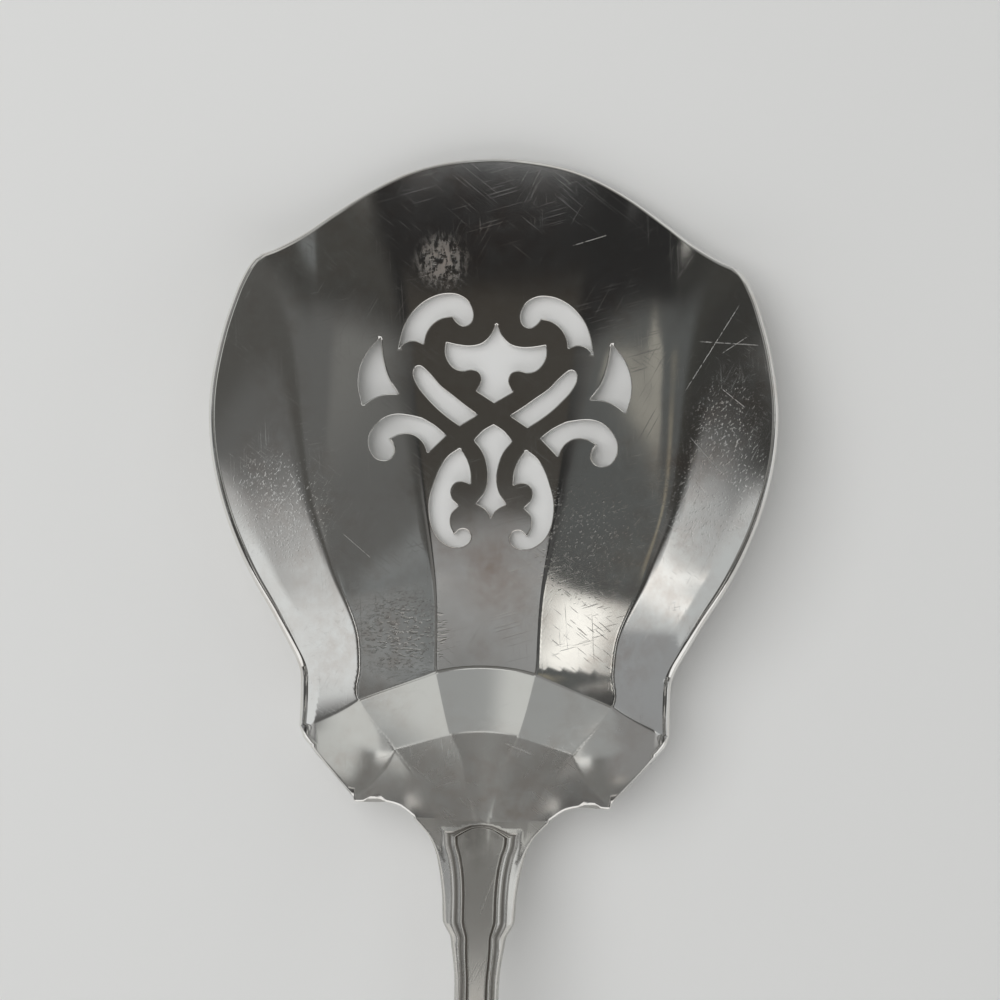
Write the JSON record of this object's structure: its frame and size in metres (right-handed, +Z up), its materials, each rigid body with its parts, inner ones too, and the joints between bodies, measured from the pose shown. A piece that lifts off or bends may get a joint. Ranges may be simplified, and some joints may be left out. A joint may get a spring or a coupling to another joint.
{
  "type": "pierced tomato server",
  "caption": "Flat serving piece with a broad shallow panelled bowl, pierced with scrollwork, on an arched handle framed by raised threads.",
  "frame": {"origin": "on the table under the middle of the piece, as it lies face up", "axes": "+Y from the handle's end to the bowl's front, +Z up out of the table, +X to the right"},
  "size_m": [0.0718, 0.197, 0.0156],
  "materials": {
    "polished_silver": "hand-polished silver with fine scratches and light tarnish",
    "hard_solder": "silver solder, polished flush",
    "satin_silver": "silver worn to a soft satin"
  },
  "bodies": {
    "root": {"bowl": "polished_silver", "solder_seam": "hard_solder", "handle": "satin_silver"}
  },
  "joints": []
}
